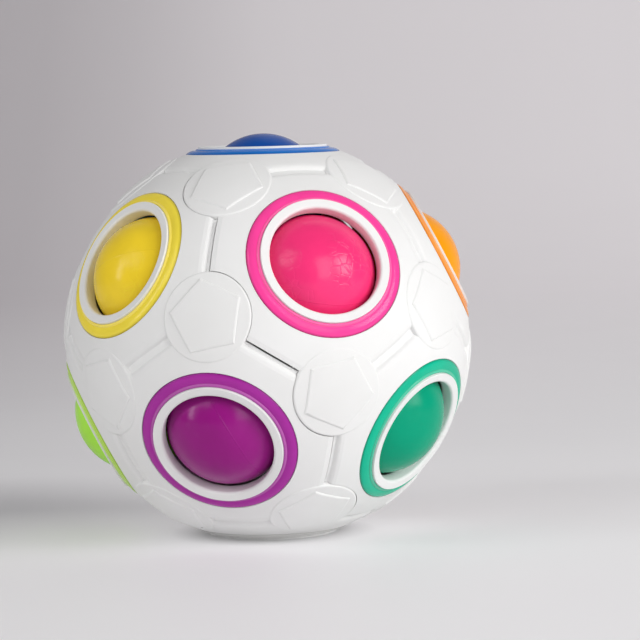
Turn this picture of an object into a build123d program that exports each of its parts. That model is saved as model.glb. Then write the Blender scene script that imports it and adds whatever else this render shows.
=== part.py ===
from build123d import *

# Sliding-ball puzzle: a hollow white ball with twelve holes, a coloured ring round every hole and eleven
# coloured balls. One hole is empty, so a ball beside it can be pushed in and over to it.
#
# Millimetres, +Z up. The origin is under the puzzle's centre, on the surface that it stands on.
# Every hole lies on a face axis of a regular dodecahedron about that centre, and the front (-Y) holds
# the pink hole. The shell parts into two equal halves along ten of the dodecahedron's thirty edges.

import os
from itertools import combinations
from math import acos, atan, cos, degrees, isclose, radians, sin, sqrt, tan

os.makedirs("parts", exist_ok=True)

# Shell
SHELL_RADIUS = 35.0
WALL = 2.4
INNER_RADIUS = SHELL_RADIUS - WALL
SEAM_GAP = 0.32
SEAM_DIP = 0.14
SEAM_DIP_WIDTH = 1.5
SEAM_DIP_RISE = 0.2

# Each hole: a collar with a flat rim, inside a recess for the coloured ring
OPENING_RADIUS = 9.5
COLLAR_RADIUS = 11.1
RIM_HEIGHT = 33.6
RIM_ROUNDING = 0.45
COLLAR_OUTER_ROUNDING = 0.12
RECESS_RADIUS = 13.3
RECESS_FLOOR = 31.6
RECESS_CHAMFER = 0.12
BORE_CHAMFER = 0.25

# Coloured rings: a crowned band that slopes from the collar down to the shell, with a bead inside it
RING_INNER_GAP = 0.03
RING_OUTER_GAP = 0.05
RING_TOP = 33.16
RING_CROWN = 0.16
RING_OUTER_ROUNDING = 0.34
BEAD_WIDTH = 0.5
BEAD_CROWN = 0.15

# Raised round discs on the twenty corners, each with a pentagon pad, and a ledge under the outer ones
DISC_RADIUS = 7.55
DISC_RISE = 0.14
DISC_ROUNDING = 0.4
DISC_GAP = 0.1
LEDGE_WIDTH = 0.9
LEDGE_THICKNESS = 1.0
PAD_RADIUS = 6.6
PAD_RISE = 0.2
PAD_ROUNDING = 0.45
PAD_ROOT = 2.0

# Grooves along the thirty edges, with soft shoulders, that end under the discs. At the parting line one
# side has no shoulder: its face only dips a little towards the gap.
GROOVE_FLOOR_HALF_WIDTH = 0.6
GROOVE_SHOULDER_HALF_WIDTH = 1.1
GROOVE_DEPTH = 0.62
GROOVE_SHOULDER_DEPTH = 0.12
GROOVE_FLARE = 1.5
GROOVE_FLARE_RISE = 0.13
GROOVE_ROUNDING = 0.9
GROOVE_FLOOR_ROUNDING = 0.22
GROOVE_END_INSET = 4.0

# Balls, and the elastic core that keeps them out in their holes
BALL_RADIUS = 10.7
BALL_SEAT = 25.8
TOP_BALL_SAG = 0.85
CORE_RADIUS = 14.6
CORE_SAG = 0.5

# A dodecahedron's angles
FACE_TILT = degrees(atan(1 / 2))
FACE_ANGLE = degrees(acos(1 / sqrt(5)))
CORNER_ANGLE = degrees(acos(sqrt((5 + 2 * sqrt(5)) / 15)))
GROOVE_ARC = degrees(acos(sqrt(5) / 3) - 2 * GROOVE_END_INSET / SHELL_RADIUS)

CENTRE = Vector(0, 0, RIM_HEIGHT)
WEDGE_START = 24.0
REACH = SHELL_RADIUS + 5
ANGLE_SLACK = 1.0


def direction(azimuth, elevation):
    """Unit vector. Azimuth 0 is the front (-Y) and grows towards +X."""
    flat = cos(radians(elevation))
    return Vector(flat * sin(radians(azimuth)), -flat * cos(radians(azimuth)), sin(radians(elevation)))


UPPER_ROW = {"pink": 0, "orange": 72, "red": 144, "sky": 216, "yellow": 288}
LOWER_ROW = {"green": 36, "brown": 108, "grey": 180, "lime": 252, "purple": 324}
TOP_HOLE = "blue"
EMPTY_HOLE = "white"
FRONT_HOLE = "pink"
RIGHT_POLE = "orange"
LEFT_POLE = "lime"
HOLES = {TOP_HOLE: direction(0, 90), EMPTY_HOLE: direction(0, -90)}
for row, elevation in ((UPPER_ROW, FACE_TILT), (LOWER_ROW, -FACE_TILT)):
    for colour, azimuth in row.items():
        HOLES[colour] = direction(azimuth, elevation)


def are_neighbours(*colours):
    angles = [HOLES[one].get_angle(HOLES[other]) for one, other in combinations(colours, 2)]
    return all(abs(angle - FACE_ANGLE) < ANGLE_SLACK for angle in angles)


def holes_of_half(pole):
    return [pole] + [colour for colour in HOLES if colour != pole and are_neighbours(pole, colour)]


CORNERS = [trio for trio in combinations(HOLES, 3) if are_neighbours(*trio)]
EDGES = [pair for pair in combinations(HOLES, 2) if are_neighbours(*pair)]


def middle(colours):
    """Unit vector half way between the holes named."""
    return sum((HOLES[colour] for colour in colours), Vector(0, 0, 0)).normalized()


def axis_plane(along, towards):
    """Plane at the puzzle's centre, with Z along one direction and X leaning towards another."""
    across = (towards - along * towards.dot(along)).normalized()
    return Plane(origin=CENTRE, x_dir=across, z_dir=along)


def hole_plane(colour):
    beside = next(other for other in HOLES if other != colour and are_neighbours(colour, other))
    return axis_plane(HOLES[colour], HOLES[beside])


def corner_plane(corner, pole):
    """Plane on a corner's axis. X leans to the hole that the pentagon's tip points to: the half's pole
    beside it, and the other half's hole further out."""
    own = holes_of_half(pole)
    tip = pole if pole in corner else next(colour for colour in corner if colour not in own)
    return axis_plane(middle(corner), HOLES[tip])


def shoulder_first(edge):
    """A seam edge's two holes. The shoulder is on the first one's side: the hole further from the front
    one, or the right half's where both are as far."""
    right_half = holes_of_half(RIGHT_POLE)

    def rank(hole):
        from_front = round(HOLES[FRONT_HOLE].get_angle(HOLES[hole]))
        return -from_front, hole not in right_half

    return sorted(edge, key=rank)


def edge_plane(edge):
    """Plane on the axis of an edge's middle. X runs along the edge and Y to the first of its holes."""
    along = HOLES[edge[0]].cross(HOLES[edge[1]])
    return axis_plane(middle(edge), along)


def sphere_height(radius, across):
    return sqrt(radius**2 - across**2)


# Features of the shell, each made once at the origin with its own axis on Z

with BuildPart() as face_wedge:
    # one pentagonal twelfth of the solid angle, from inside the wall to outside it
    for height in (WEDGE_START, REACH):
        with BuildSketch(Plane.XY.offset(height)):
            RegularPolygon(height * tan(radians(CORNER_ANGLE)), 5, rotation=180 / 5)
    loft()

with BuildPart() as hole_cutter:
    bore_edge = sphere_height(INNER_RADIUS, OPENING_RADIUS)
    lip = sphere_height(SHELL_RADIUS, RECESS_RADIUS) - RECESS_CHAMFER
    with BuildSketch(Plane.XZ):
        with BuildLine():
            Polyline(
                (0, WEDGE_START),
                (OPENING_RADIUS + 2 * BORE_CHAMFER, WEDGE_START),
                (OPENING_RADIUS + 2 * BORE_CHAMFER, bore_edge - BORE_CHAMFER),
                (OPENING_RADIUS, bore_edge + BORE_CHAMFER),
                (OPENING_RADIUS, RECESS_FLOOR),
                (RECESS_RADIUS, RECESS_FLOOR),
                (RECESS_RADIUS, lip),
                (RECESS_RADIUS + REACH - lip, REACH),
                (0, REACH),
                close=True,
            )
        make_face()
    revolve(axis=Axis.Z)

with BuildPart() as collar:
    with BuildSketch(Plane.XZ) as collar_section:
        with Locations((OPENING_RADIUS, RECESS_FLOOR)):
            from_corner = (Align.MIN, Align.MIN)
            Rectangle(COLLAR_RADIUS - OPENING_RADIUS, RIM_HEIGHT - RECESS_FLOOR, align=from_corner)
        fillet(collar_section.vertices().group_by(Axis.Y)[-1].sort_by(Axis.X)[0], RIM_ROUNDING)
        fillet(collar_section.vertices().sort_by(Axis.X)[-1:].sort_by(Axis.Y)[-1], COLLAR_OUTER_ROUNDING)
    revolve(axis=Axis.Z)


def plug(radius, ledge_width, ledge_top):
    """A round plug right through the wall, with a wider ledge at its foot where it has one."""
    upright = (Align.CENTER, Align.CENTER, Align.MIN)
    with BuildPart() as blank:
        with Locations((0, 0, WEDGE_START)):
            Cylinder(radius, REACH - WEDGE_START, align=upright)
            if ledge_width:
                Cylinder(radius + ledge_width, ledge_top - WEDGE_START, align=upright)
    return blank.part


def disc(ledge_width):
    """A plug trimmed to the wall's inside and to its own low dome, with a rounded edge."""
    with BuildPart() as raised:
        add(plug(DISC_RADIUS, ledge_width, LEDGE_TOP))
        Sphere(SHELL_RADIUS + DISC_RISE, rotation=ASIDE, mode=Mode.INTERSECT)
        dome_edge = raised.edges().filter_by(lambda edge: edge.is_closed).sort_by(Axis.Z)[-1]
        fillet(dome_edge, DISC_ROUNDING)
        Sphere(INNER_RADIUS, rotation=ASIDE, mode=Mode.SUBTRACT)
    return raised.part


ASIDE = (90, 0, 0)  # keeps a sphere's poles and seam away from the face that stays
LEDGE_TOP = sphere_height(INNER_RADIUS, DISC_RADIUS + LEDGE_WIDTH) + LEDGE_THICKNESS
inner_disc = disc(0)
outer_disc = disc(LEDGE_WIDTH)
disc_clearance = plug(DISC_RADIUS + DISC_GAP, LEDGE_WIDTH, LEDGE_TOP + DISC_GAP)

with BuildPart() as pentagon_pad:
    with BuildSketch(Plane.XY.offset(SHELL_RADIUS - PAD_ROOT)):
        RegularPolygon(PAD_RADIUS, 5)
    extrude(amount=REACH - SHELL_RADIUS)
    Sphere(SHELL_RADIUS + DISC_RISE + PAD_RISE, rotation=ASIDE, mode=Mode.INTERSECT)
    rim_edges = pentagon_pad.edges().filter_by(GeomType.CIRCLE).sort_by(SortBy.LENGTH)[-5:]
    fillet(rim_edges, PAD_ROUNDING)


def edge_start_plane():
    """Plane across the start of an edge's arc, with local X across the edge and local Y outwards."""
    half_arc = radians(GROOVE_ARC / 2)
    return Plane(origin=(0, 0, 0), x_dir=(0, 1, 0), z_dir=(cos(half_arc), 0, sin(half_arc)))


def is_shoulder(vertex):
    return isclose(abs(vertex.X), GROOVE_SHOULDER_HALF_WIDTH)


def edge_groove(near_side):
    """A groove along an edge, from its near side's section to the usual shoulder on its far side."""
    bottom, shoulder = SHELL_RADIUS - GROOVE_DEPTH, SHELL_RADIUS - GROOVE_SHOULDER_DEPTH
    far_side = [
        (GROOVE_FLOOR_HALF_WIDTH, bottom),
        (GROOVE_SHOULDER_HALF_WIDTH, shoulder),
        (GROOVE_SHOULDER_HALF_WIDTH + GROOVE_FLARE, shoulder + GROOVE_FLARE_RISE),
    ]
    if not near_side:
        near_side = [(-across, height) for across, height in far_side]
    with BuildPart() as cutter:
        with BuildSketch(edge_start_plane()) as section:
            with BuildLine():
                Polyline(*far_side, *reversed(near_side), close=True)
            make_face()
            fillet(section.vertices().filter_by(is_shoulder), GROOVE_ROUNDING)
            fillet(section.vertices().group_by(Axis.Y)[0], GROOVE_FLOOR_ROUNDING)
        revolve(axis=Axis.Y, revolution_arc=GROOVE_ARC)
    return cutter.part


groove = edge_groove([])
within_slot = -SEAM_GAP / 4
seam_groove = edge_groove([
    (within_slot, SHELL_RADIUS - GROOVE_DEPTH),
    (within_slot, SHELL_RADIUS - SEAM_DIP),
    (within_slot - SEAM_DIP_WIDTH, SHELL_RADIUS - SEAM_DIP + SEAM_DIP_RISE),
])

with BuildPart() as seam_slot:
    with BuildSketch(edge_start_plane()):
        with Locations((0, (INNER_RADIUS + SHELL_RADIUS) / 2)):
            Rectangle(SEAM_GAP, 2 * WALL)
    revolve(axis=Axis.Y, revolution_arc=GROOVE_ARC)


def shell_half(pole):
    """Half of the shell: six of the twelve faces, and every corner disc that has two of its three
    holes here. The parting line follows the seam edges, and goes round the outer discs."""
    own = holes_of_half(pole)
    own_corners = [corner for corner in CORNERS if sum(colour in own for colour in corner) > 1]
    inner_corners = [corner for corner in own_corners if pole in corner]
    outer_corners = [corner for corner in own_corners if pole not in corner]
    far_corners = [corner for corner in CORNERS if sum(colour in own for colour in corner) == 1]
    inner_edges = [edge for edge in EDGES if edge[0] in own and edge[1] in own]
    seam_edges = [shoulder_first(edge) for edge in EDGES if (edge[0] in own) != (edge[1] in own)]
    with BuildPart() as half:
        with Locations(*[hole_plane(colour) for colour in own]):
            add(face_wedge.part)
        with Locations(CENTRE):
            Sphere(SHELL_RADIUS, mode=Mode.INTERSECT)
            Sphere(INNER_RADIUS, mode=Mode.SUBTRACT)
        with Locations(*[edge_plane(edge) for edge in inner_edges]):
            add(groove, mode=Mode.SUBTRACT)
        with Locations(*[edge_plane(edge) for edge in seam_edges]):
            add(seam_groove, mode=Mode.SUBTRACT)
            add(seam_slot.part, mode=Mode.SUBTRACT)
        with Locations(*[axis_plane(middle(corner), HOLES[corner[0]]) for corner in far_corners]):
            add(disc_clearance, mode=Mode.SUBTRACT)
        with Locations(*[corner_plane(corner, pole) for corner in inner_corners]):
            add(inner_disc)
        with Locations(*[corner_plane(corner, pole) for corner in outer_corners]):
            add(outer_disc)
        with Locations(*[corner_plane(corner, pole) for corner in own_corners]):
            add(pentagon_pad.part)
        with Locations(*[hole_plane(colour) for colour in own]):
            add(hole_cutter.part, mode=Mode.SUBTRACT)
            add(collar.part)
    return half.part


def crowned(start, end, rise):
    """Arc between two points of a section that bulges outwards by the rise."""
    chord = Vector(*end) - Vector(*start)
    outwards = Vector(chord.Y, -chord.X).normalized()
    return ThreePointArc(start, Vector(*start) + chord / 2 + outwards * rise, end)


def ring(colour):
    """The coloured band glued into the recess round a hole."""
    inner = COLLAR_RADIUS + RING_INNER_GAP
    outer = RECESS_RADIUS - RING_OUTER_GAP
    floor = RECESS_FLOOR + RING_INNER_GAP
    outer_top = sphere_height(SHELL_RADIUS, outer)
    crease_top = RING_TOP - (RING_TOP - outer_top) * BEAD_WIDTH / (outer - inner)
    across = hole_plane(colour)
    with BuildPart() as band:
        with BuildSketch(Plane(origin=CENTRE, x_dir=across.x_dir, z_dir=-across.y_dir)) as section:
            with BuildLine():
                crowned((outer, outer_top), (inner + BEAD_WIDTH, crease_top), RING_CROWN)
                crowned((inner + BEAD_WIDTH, crease_top), (inner, RING_TOP), BEAD_CROWN)
                Polyline((inner, RING_TOP), (inner, floor), (outer, floor), (outer, outer_top))
            make_face()
            fillet(section.vertices().group_by(Axis.X)[-1].sort_by(Axis.Y)[-1], RING_OUTER_ROUNDING)
        revolve(axis=Axis(CENTRE, HOLES[colour]))
    return band.part


def ball(colour):
    """A ball held out in its hole. The top one sinks a little, on to the core."""
    sag = TOP_BALL_SAG if colour == TOP_HOLE else 0
    with BuildPart() as sphere:
        with Locations(CENTRE + HOLES[colour] * (BALL_SEAT - sag)):
            Sphere(BALL_RADIUS)
    return sphere.part


with BuildPart() as core:
    # an elastic ball, loose in the middle, that gives way to a ball being pushed in
    with Locations(CENTRE - Vector(0, 0, CORE_SAG)):
        Sphere(CORE_RADIUS)


def save(part, name):
    part.label = name
    export_step(part, f"parts/{name}.step")


save(shell_half(RIGHT_POLE), "right_shell_half")
save(shell_half(LEFT_POLE), "left_shell_half")
for colour in HOLES:
    save(ring(colour), f"{colour}_ring")
    if colour != EMPTY_HOLE:
        save(ball(colour), f"{colour}_ball")
save(core.part, "elastic_core")
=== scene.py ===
from math import cos, pi, radians, sin

import bmesh
import bpy
from mathutils import Matrix, Vector


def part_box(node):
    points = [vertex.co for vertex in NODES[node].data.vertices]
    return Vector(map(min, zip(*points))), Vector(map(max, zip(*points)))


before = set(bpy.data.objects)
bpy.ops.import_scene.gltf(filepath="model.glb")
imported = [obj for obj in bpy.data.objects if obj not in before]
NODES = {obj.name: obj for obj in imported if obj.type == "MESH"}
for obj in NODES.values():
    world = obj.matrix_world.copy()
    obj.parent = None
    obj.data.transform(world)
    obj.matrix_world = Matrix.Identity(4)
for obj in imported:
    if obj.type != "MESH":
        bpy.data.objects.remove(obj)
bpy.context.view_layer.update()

# ------------------------------------------------------------------------------------------- sizes, metres

MM = 0.001
SHELL_RADIUS = 35.0 * MM
CENTRE = Vector((0, 0, 33.6 * MM))
# Distances from a ring's axis: where the bead beside the collar ends, and the ring's outer edge; the bead
# carries a painted highlight and the outer edge painted shade
BEAD_EDGE = 11.6 * MM
BEAD_FADE = 0.12 * MM
RING_EDGE = 13.25 * MM
RING_EDGE_FADE = 0.3 * MM
# A ball's mould line, from its solid middle to where it has faded out, and how far it strays
MOULD_LINE = 0.03 * MM
MOULD_LINE_FADED = 0.14 * MM
MOULD_LINE_STRAY = 0.4 * MM

# Camera, as a photographer would set it: distance in shell radii, angles in degrees, lens and sensor in
# millimetres
CAMERA_DISTANCE = 15.04 * SHELL_RADIUS
CAMERA_AZIMUTH = -19.13
CAMERA_ELEVATION = 4.69
CAMERA_YAW = 1.0
CAMERA_PITCH = 4.36
CAMERA_ROLL = -1.48
CAMERA_LENS = 170.4
SENSOR = 36.0

# Softboxes: azimuth from the camera and elevation in degrees, distance, width and height in metres,
# watts, colour
LIGHTS = {
    "key": (25, 22, 0.9, 0.42, 0.6, 2.4, (1.0, 0.995, 0.99)),
    "side": (62, 21, 0.9, 0.42, 0.42, 4.4, (1.0, 0.995, 0.99)),
    "left": (-50, 38, 1.0, 0.45, 0.45, 1.6, (1.0, 1.0, 1.0)),
    "strip": (-72, 20, 0.9, 0.16, 0.5, 1.5, (1.0, 1.0, 1.0)),
}
WHITE = (1.0, 1.0, 1.0, 1.0)
WORLD_COLOUR = (1.0, 0.99, 1.0)
WORLD_STRENGTH = 0.18
# Painted glow of the floor and backdrop paper, as if lit from below, which also lights the puzzle from
# beneath, and its colour
PAINTED_FLOOR_GLOW = 0.26
PAINTED_GLOW_COLOUR = (1.0, 0.975, 0.985, 1.0)
PAPER_NEAR, PAPER_NEAR_MOTTLE = (0.60, 0.60, 0.61, 1.0), (0.585, 0.585, 0.595, 1.0)
PAPER_FAR = (0.60, 0.565, 0.59, 1.0)
# How far behind the puzzle the middle of its painted soft shadow on the paper lies, in metres
PAINTED_SHADOW_BAND = 0.035


# --------------------------------------------------------------------------------------- material helpers

class Nodes:
    """A short way to build one material's node tree."""

    def __init__(self, name):
        self.material = bpy.data.materials.new(name)
        self.material.use_nodes = True
        self.tree = self.material.node_tree
        self.shader = self.tree.nodes["Principled BSDF"]
        self.place = self.tree.nodes.new("ShaderNodeTexCoord").outputs["Object"]

    def add(self, kind, inputs, **settings):
        """A node with its settings, then its inputs by name or place: a value, or an output to link."""
        node = self.tree.nodes.new(kind)
        for key, value in settings.items():
            setattr(node, key, value)
        for key, value in inputs.items():
            if isinstance(value, bpy.types.NodeSocket):
                self.tree.links.new(value, node.inputs[key])
            else:
                node.inputs[key].default_value = value
        return node

    def noise(self, scale, detail=3.0, place=None):
        inputs = {"Vector": place or self.place, "Scale": scale, "Detail": detail, "Roughness": 0.55}
        return self.add("ShaderNodeTexNoise", inputs).outputs["Fac"]

    def uneven(self, scale, least=0.0, most=1.0, detail=3.0, place=None):
        """Noise stretched between two values; little of it lies outside 0.3 to 0.7 before that."""
        return self.ramp(self.noise(scale, detail, place), 0.3, 0.7, least, most)

    def cells(self, scale, feature, place=None):
        inputs = {"Vector": place or self.place, "Scale": scale, "Randomness": 1.0}
        return self.add("ShaderNodeTexVoronoi", inputs, feature=feature)

    def ramp(self, value, low, high, out_low=0.0, out_high=1.0):
        inputs = {"Value": value, "From Min": low, "From Max": high, "To Min": out_low, "To Max": out_high}
        return self.add("ShaderNodeMapRange", inputs).outputs["Result"]

    def maths(self, operation, first, second=0.0):
        return self.add("ShaderNodeMath", {0: first, 1: second}, operation=operation).outputs[0]

    def vector(self, operation, first, second=None, output="Vector"):
        inputs = {0: first} if second is None else {0: first, 1: second}
        return self.add("ShaderNodeVectorMath", inputs, operation=operation).outputs[output]

    def mix(self, factor, first, second):
        return self.add("ShaderNodeMix", {0: factor, 6: first, 7: second}, data_type="RGBA").outputs[2]

    def bump(self, height, distance, onto=None):
        inputs = {"Height": height, "Distance": distance, "Strength": 1.0}
        if onto is not None:
            inputs["Normal"] = onto
        return self.add("ShaderNodeBump", inputs).outputs["Normal"]

    def surface(self, colour, roughness, normal=None, **fixed):
        self.tree.links.new(colour, self.shader.inputs["Base Color"])
        self.tree.links.new(roughness, self.shader.inputs["Roughness"])
        if normal is not None:
            self.tree.links.new(normal, self.shader.inputs["Normal"])
        for socket, value in fixed.items():
            self.shader.inputs[socket.replace("_", " ")].default_value = value
        return self.material


def opaque(colour):
    return tuple(colour) + (1.0,)


def scaled(colour, share):
    """The colour made darker, or lighter up to full strength."""
    return opaque(min(1.0, channel * share) for channel in colour[:3])


def specks(n, scale, share, size):
    """1 on a share of the cells' round spots, whose size is in cells, and 0 elsewhere."""
    spot = n.cells(scale, "F1")
    lot = n.add("ShaderNodeSeparateColor", {0: spot.outputs["Color"]}).outputs[0]
    chosen = n.maths("LESS_THAN", lot, share)
    near = n.ramp(spot.outputs["Distance"], size, size * 0.5)
    return n.maths("MULTIPLY", chosen, near)


def shell_plastic():
    """Satin white plastic, a little uneven in tint and surface, with a few tiny dark specks."""
    n = Nodes("white_abs")
    tint = n.mix(n.ramp(n.noise(60), 0.35, 0.7), SHELL_COLOUR, SHELL_MOTTLE)
    tint = n.mix(specks(n, 260, share=0.05, size=0.09), tint, SPECK_COLOUR)
    roughness = n.uneven(350, 0.48, 0.6, detail=4)
    wave = n.bump(n.noise(90, 2), 0.06 * MM)
    grain = n.bump(n.noise(2600, 2), 0.004 * MM, onto=wave)
    return n.surface(tint, roughness, grain, Specular_IOR_Level=0.4)


def ring_plastic(name, colour):
    """Glossy plastic, with a painted highlight making the thin bead beside the collar paler and painted
    shade darkening the outer edge.
    """
    n = Nodes(f"{name}_ring_gloss")
    low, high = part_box(f"{name}_ring")
    to_local = NODES[f"{name}_ring"].matrix_world.inverted()
    axis = ((low + high) / 2 - CENTRE).normalized()
    from_centre = n.vector("SUBTRACT", n.place, to_local @ CENTRE)
    radius = n.vector("LENGTH", n.vector("CROSS_PRODUCT", from_centre, axis), output="Value")
    tint = n.mix(n.uneven(140), colour, scaled(colour, 0.9))
    pale, dark = n.mix(0.08, colour, WHITE), scaled(colour, 0.4)
    # painted highlight: paler on the thin bead beside the collar
    tint = n.mix(n.ramp(radius, BEAD_EDGE, BEAD_EDGE + BEAD_FADE, 1.0, 0.0), tint, pale)
    # painted shade: darker at the outer edge, where the ring's side falls into the gap
    tint = n.mix(n.ramp(radius, RING_EDGE - RING_EDGE_FADE, RING_EDGE, 0.0, 0.6), tint, dark)
    roughness = n.uneven(500, 0.13, 0.22, detail=4)
    wave = n.bump(n.noise(420, 2), 0.02 * MM)
    return n.surface(tint, roughness, wave, Specular_IOR_Level=0.22)


def ball_plastic(name, colour, ridge, crazing, gloss):
    """Satin plastic with a faint mould line round the ball and patches of fine crazing."""
    n = Nodes(f"{name}_ball_satin")
    low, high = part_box(f"{name}_ball")
    middle = NODES[f"{name}_ball"].matrix_world.inverted() @ ((low + high) / 2)
    place = n.vector("SUBTRACT", n.place, middle)
    along = n.vector("DOT_PRODUCT", place, ridge.normalized(), output="Value")
    stray = n.maths("MULTIPLY", n.noise(60, place=place), MOULD_LINE_STRAY)
    from_line = n.maths("ABSOLUTE", n.maths("ADD", along, stray))
    line = n.ramp(from_line, MOULD_LINE, MOULD_LINE_FADED, 1.0, 0.0)
    from_crack = n.cells(620, "DISTANCE_TO_EDGE", place=place).outputs["Distance"]
    patches = n.ramp(n.noise(90, place=place), 0.46, 0.56)
    cracks = n.maths("MULTIPLY", n.ramp(from_crack, 0.0, 0.06, crazing, 0.0), patches)
    tint = n.mix(n.uneven(110, detail=4, place=place), colour, scaled(colour, 0.88))
    tint = n.mix(n.maths("MULTIPLY", cracks, 0.3), tint, scaled(colour, 1.25))
    roughness = n.uneven(300, 0.18, 0.27, detail=4, place=place)
    wave = n.bump(n.noise(260, 3, place=place), 0.04 * MM)
    ridged = n.bump(line, 0.03 * MM, onto=wave)
    crazed = n.bump(cracks, -0.03 * MM, onto=ridged)
    return n.surface(tint, roughness, crazed, Specular_IOR_Level=gloss)


def core_rubber():
    """Matt, slightly mottled rubber."""
    n = Nodes("core_rubber")
    tint = n.mix(n.noise(200), CORE_COLOUR, CORE_MOTTLE)
    roughness = n.ramp(n.noise(500), 0.0, 1.0, 0.6, 0.9)
    return n.surface(tint, roughness, n.bump(n.noise(900, 4), 0.08 * MM))


SHELL_COLOUR, SHELL_MOTTLE = (0.83, 0.83, 0.825, 1.0), (0.80, 0.80, 0.79, 1.0)
SPECK_COLOUR = (0.30, 0.28, 0.26, 1.0)
CORE_COLOUR, CORE_MOTTLE = (0.50, 0.48, 0.44, 1.0), (0.38, 0.36, 0.33, 1.0)
RING_COLOURS = {
    "blue": (0.001, 0.165, 0.60), "pink": (0.97, 0.06, 0.34), "orange": (0.96, 0.31, 0.02),
    "yellow": (0.98, 0.79, 0.07), "green": (0.001, 0.50, 0.30), "lime": (0.52, 0.82, 0.08),
    "purple": (0.42, 0.028, 0.36), "red": (0.72, 0.02, 0.03), "sky": (0.08, 0.50, 0.85),
    "brown": (0.22, 0.08, 0.03), "grey": (0.26, 0.28, 0.30), "white": (0.82, 0.82, 0.80),
}
BALL_COLOURS = {
    "blue": (0.002, 0.072, 0.355), "pink": (0.97, 0.036, 0.20), "orange": (0.98, 0.36, 0.002),
    "yellow": (0.98, 0.70, 0.03), "green": (0.001, 0.355, 0.20), "lime": (0.46, 0.93, 0.08),
    "purple": (0.31, 0.008, 0.215), "red": (0.66, 0.012, 0.02), "sky": (0.04, 0.38, 0.74),
    "brown": (0.15, 0.045, 0.02), "grey": (0.18, 0.19, 0.21),
}
# Axis of each ball's mould line
RIDGES = {
    "pink": Vector((0.10, -0.32, 0.94)), "purple": Vector((0.8, -0.3, 0.5)),
    "yellow": Vector((0.2, 0.5, 0.84)), "green": Vector((-0.7, 0.2, 0.6)), "blue": Vector((0.3, 1.0, 0.1)),
}
RIDGE_OTHERWISE = Vector((0.3, 0.4, 0.87))
# How strongly each ball's surface is crazed, and how much it shines
WEAR = {"pink": (1.0, 0.32), "yellow": (0.7, 0.22), "purple": (0.15, 0.22), "blue": (0.1, 0.16)}
WEAR_OTHERWISE = (0.15, 0.13)


def dress(node, material):
    NODES[node].data.materials.clear()
    NODES[node].data.materials.append(material)


white_plastic = shell_plastic()
for half in ("right_shell_half", "left_shell_half"):
    dress(half, white_plastic)
for name, colour in RING_COLOURS.items():
    dress(f"{name}_ring", ring_plastic(name, opaque(colour)))
for name, colour in BALL_COLOURS.items():
    ridge = RIDGES.get(name, RIDGE_OTHERWISE)
    crazing, gloss = WEAR.get(name, WEAR_OTHERWISE)
    dress(f"{name}_ball", ball_plastic(name, opaque(colour), ridge, crazing, gloss))
dress("elastic_core", core_rubber())


# ----------------------------------------------------------------------------------------- floor and light

def paper_with_painted_glow():
    """Paper with a painted glow, as if lit from below. It glows less under the puzzle and in a soft shadow
    behind it, both painted shadows, and with painted shade to the left and further back; distances are in
    metres across and back from the puzzle's middle."""
    n = Nodes("paper")
    across, back, _ = n.add("ShaderNodeSeparateXYZ", {0: n.place}).outputs
    near_tint = n.mix(n.noise(4), PAPER_NEAR, PAPER_NEAR_MOTTLE)
    tint = n.mix(n.ramp(back, 0.1, 0.6), near_tint, PAPER_FAR)
    roughness = n.ramp(n.noise(30), 0.0, 1.0, 0.55, 0.65)
    from_middle = n.vector("LENGTH", n.place, output="Value")
    from_band = n.maths("ABSOLUTE", n.maths("SUBTRACT", back, PAINTED_SHADOW_BAND))
    # painted contact shadow: less glow close under the puzzle
    painted_contact_shadow = n.ramp(from_middle, 0.018, 0.011, 0.0, 0.6)
    # painted soft shadow: a band behind the puzzle, on its left
    painted_shadow_band = n.maths("MULTIPLY", n.ramp(from_band, 0.05, 0.0, 0.0, 0.6), n.ramp(across, 0.0, -0.05))
    # painted shade: less glow to the left, further back, and more so behind on the left
    painted_shade_left = n.ramp(across, 0.02, -0.06, 0.0, 0.16)
    behind = n.ramp(back, 0.02, 0.12, 0.0, 0.15)
    painted_shade_behind_left = n.maths("MULTIPLY", n.ramp(back, 0.08, 0.25, 0.0, 0.35), n.ramp(across, 0.0, -0.1))
    # less than nothing: painted light, the backdrop on the right glows more
    painted_light_far_right = n.maths("MULTIPLY", n.ramp(back, 0.15, 0.8), n.ramp(across, 0.16, -0.16, -0.43, 0.0))
    # painted glow of the paper, less where shadow and shade are painted and more where light is painted
    glow = 1.0
    for dimmer in (painted_contact_shadow, painted_shadow_band, painted_shade_left, behind, painted_shade_behind_left, painted_light_far_right):
        glow = n.maths("SUBTRACT", glow, dimmer)
    glow = n.maths("MULTIPLY", n.maths("MAXIMUM", glow, 0.0), PAINTED_FLOOR_GLOW)
    n.tree.links.new(glow, n.shader.inputs["Emission Strength"])
    return n.surface(tint, roughness, Emission_Color=PAINTED_GLOW_COLOUR)


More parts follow.
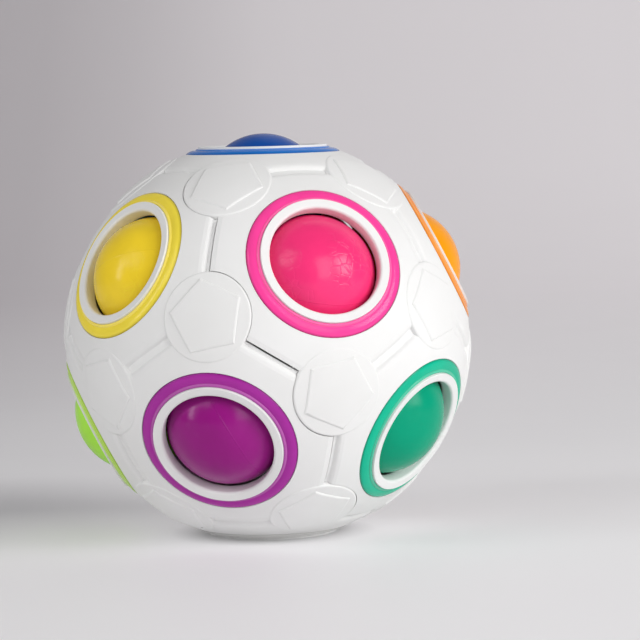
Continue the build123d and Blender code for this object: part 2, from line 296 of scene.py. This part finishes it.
def sweep_floor():
    """A pale floor that runs back and curves up into the backdrop, sized in metres."""
    mesh = bmesh.new()
    front, flat_end, bend_radius, top, half_width = -1.5, 0.6, 0.5, 2.2, 2.5
    bend_steps = 24
    profile = [(front, 0.0), (flat_end, 0.0)]
    for step in range(1, bend_steps + 1):
        angle = pi / 2 * step / bend_steps
        profile.append((flat_end + bend_radius * sin(angle), bend_radius * (1 - cos(angle))))
    profile.append((flat_end + bend_radius, top))
    rows = [[mesh.verts.new((x, y, z)) for x in (-half_width, half_width)] for y, z in profile]
    for near, far in zip(rows, rows[1:]):
        mesh.faces.new((near[0], near[1], far[1], far[0]))
    data = bpy.data.meshes.new("floor")
    mesh.to_mesh(data)
    mesh.free()
    for face in data.polygons:
        face.use_smooth = True
    floor = bpy.data.objects.new("floor", data)
    floor.rotation_euler.z = radians(CAMERA_AZIMUTH)
    bpy.context.scene.collection.objects.link(floor)
    data.materials.append(paper_with_painted_glow())


def softbox(name, azimuth, elevation, distance, width, height, power, colour):
    """A rectangular light that faces the puzzle's centre."""
    data = bpy.data.lights.new(name, "AREA")
    data.shape = "RECTANGLE"
    data.size = width
    data.size_y = height
    data.energy = power
    data.color = colour
    light = bpy.data.objects.new(name, data)
    around, up = radians(CAMERA_AZIMUTH + azimuth), radians(elevation)
    place = Vector((sin(around) * cos(up), -cos(around) * cos(up), sin(up))) * distance
    light.location = CENTRE + place
    light.rotation_euler = (-place).to_track_quat("-Z", "Y").to_euler()
    bpy.context.scene.collection.objects.link(light)


sweep_floor()
for name, settings in LIGHTS.items():
    softbox(name, *settings)
world = bpy.data.worlds.new("studio")
world.use_nodes = True
world.node_tree.nodes["Background"].inputs["Color"].default_value = opaque(WORLD_COLOUR)
world.node_tree.nodes["Background"].inputs["Strength"].default_value = WORLD_STRENGTH
bpy.context.scene.world = world
bpy.context.scene.view_settings.view_transform = "Standard"


# --------------------------------------------------------------------------------------------------- camera

def place_camera():
    """The camera, turned by its yaw, pitch and roll a little off the puzzle's centre."""
    data = bpy.data.cameras.new("camera")
    data.lens = CAMERA_LENS
    data.sensor_width = SENSOR
    camera = bpy.data.objects.new("camera", data)
    azimuth, elevation = radians(CAMERA_AZIMUTH), radians(CAMERA_ELEVATION)
    back = Vector((sin(azimuth) * cos(elevation), -cos(azimuth) * cos(elevation), sin(elevation)))
    heading = radians(CAMERA_YAW - CAMERA_AZIMUTH)
    pitch = radians(CAMERA_PITCH)
    look = Vector((sin(heading) * cos(pitch), cos(heading) * cos(pitch), -sin(pitch)))
    right = Vector((cos(heading), -sin(heading), 0))
    up = right.cross(look)
    roll = radians(CAMERA_ROLL)
    right, up = right * cos(roll) + up * sin(roll), up * cos(roll) - right * sin(roll)
    camera.matrix_world = Matrix((right, up, -look)).transposed().to_4x4()
    camera.location = CENTRE + back * CAMERA_DISTANCE
    bpy.context.scene.collection.objects.link(camera)
    bpy.context.scene.camera = camera


place_camera()
